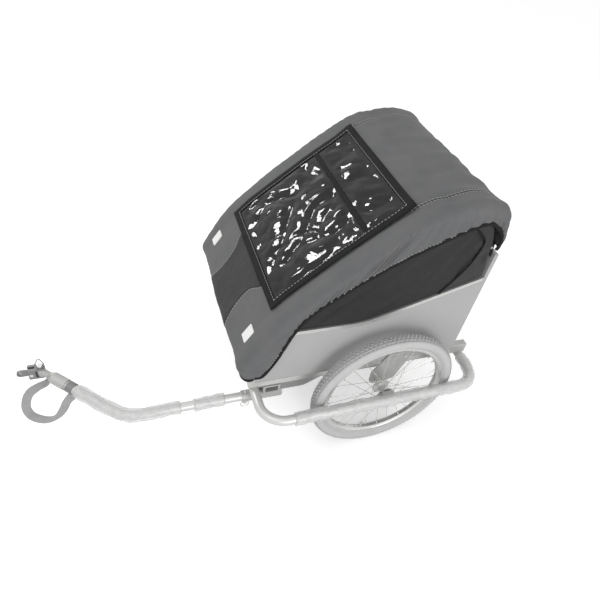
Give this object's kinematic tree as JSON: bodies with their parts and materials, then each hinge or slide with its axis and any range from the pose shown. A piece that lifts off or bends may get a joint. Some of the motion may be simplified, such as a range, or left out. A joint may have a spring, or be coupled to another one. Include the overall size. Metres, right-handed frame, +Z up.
{
  "type": "child bicycle trailer",
  "caption": "Child bicycle trailer with a panelled tub, tube guard frame, spoked wheels, tilting fabric hood with a clear window flap, and an offset towbar with a swivel hitch.",
  "frame": {"origin": "on the floor under the middle of the trailer's length and width", "axes": "+X forward along the towbar to the bicycle, +Y to the left, +Z up"},
  "size_m": [1.4129, 0.86, 0.9084],
  "materials": {
    "steel_tube": "silver paint, satin",
    "steel_plate": "silver paint, satin",
    "dark_steel": "black, satin",
    "aluminium": "anodised, satin",
    "bright_steel": "zinc plated",
    "panel": "grey film faced, matt",
    "tyre": "grey, matt",
    "well_plastic": "black, matt",
    "hood_fabric": "coated woven, grey",
    "insert_fabric": "coated woven, dark grey",
    "mesh_fabric": "dark screen cloth",
    "seat_fabric": "padded, dark",
    "webbing": "woven webbing, grey",
    "window_film": "clear film, wrinkled",
    "binding": "black binding tape",
    "reflector": "clear-white lens",
    "black_plastic": "black"
  },
  "bodies": {
    "frame": {"guard_left": "steel_tube", "guard_right": "steel_tube", "rail_left": "steel_plate", "rail_right": "steel_plate", "axle_beam": "steel_plate", "hub_plate_left": "steel_plate", "hub_plate_right": "steel_plate", "axle_lug_left": "steel_plate", "axle_lug_right": "steel_plate", "axle_left": "bright_steel", "axle_right": "bright_steel", "hub_bolts": "bright_steel", "tub_floor": "panel", "tub_front": "panel", "tub_rear": "panel", "tub_left": "panel", "tub_right": "panel", "edge_angles": "aluminium", "top_trims": "aluminium", "foot_well": "well_plastic", "seat_board": "panel", "seat_cushion": "seat_fabric", "back_cushion": "seat_fabric", "harness_straps": "webbing", "hinge_bracket_left": "steel_plate", "hinge_bracket_right": "steel_plate", "towbar": "steel_tube", "towbar_socket": "steel_plate", "strap_anchor": "dark_steel", "coupler_sleeve": "steel_plate", "safety_strap": "webbing"},
    "wheel_left": {"tyre_left": "tyre", "rim_left": "aluminium", "spokes_left": "bright_steel", "hub_left": "aluminium", "bearings_left": "bright_steel", "valve_left": "bright_steel"},
    "wheel_right": {"tyre_right": "tyre", "rim_right": "aluminium", "spokes_right": "bright_steel", "hub_right": "aluminium", "bearings_right": "bright_steel", "valve_right": "bright_steel"},
    "hood": {"hood_canopy": "hood_fabric", "hood_insert": "insert_fabric", "screen_left": "mesh_fabric", "screen_right": "mesh_fabric", "hood_frame": "black_plastic", "reflector_lenses": "reflector", "reflector_bases": "black_plastic"},
    "flap": {"window_sheet": "window_film", "window_binding": "binding"},
    "knuckle": {"hitch_knuckle": "dark_steel", "pitch_pin": "bright_steel"},
    "arm": {"hitch_arm": "dark_steel"},
    "quick_pin": {"hitch_pin": "bright_steel", "pin_bail": "dark_steel"},
    "towbar_pin": {"lock_pin": "bright_steel", "lock_ring": "bright_steel"}
  },
  "joints": [
    {"name": "left_wheel_spin", "type": "hinge", "parent": "frame", "child": "wheel_left", "pos_m": [-0.348, 0.366, 0.248], "axis": [0, 1, 0], "continuous": true},
    {"name": "right_wheel_spin", "type": "hinge", "parent": "frame", "child": "wheel_right", "pos_m": [-0.348, -0.366, 0.248], "axis": [0, 1, 0], "continuous": true},
    {"name": "hood_tilt", "type": "hinge", "parent": "frame", "child": "hood", "pos_m": [-0.61, 0, 0.752], "axis": [0, -1, 0], "range_deg": [0, 75]},
    {"name": "window_flap_lift", "type": "hinge", "parent": "hood", "child": "flap", "pos_m": [-0.35045, 0, 0.86896], "axis": [0, -1, 0], "range_deg": [0, 120]},
    {"name": "hitch_yaw", "type": "hinge", "parent": "frame", "child": "knuckle", "pos_m": [0.644, 0.087, 0.27], "axis": [0, 0, 1], "range_deg": [-55, 55]},
    {"name": "hitch_pitch", "type": "hinge", "parent": "knuckle", "child": "arm", "pos_m": [0.668, 0.087, 0.27], "axis": [0, 1, 0], "range_deg": [-30, 30]},
    {"name": "quick_pin_pull", "type": "slide", "parent": "knuckle", "child": "quick_pin", "axis": [0, 0, 1], "range_m": [0, 0.045]},
    {"name": "towbar_pin_pull", "type": "slide", "parent": "frame", "child": "towbar_pin", "axis": [0, 0, -1], "range_m": [0, 0.048]}
  ]
}
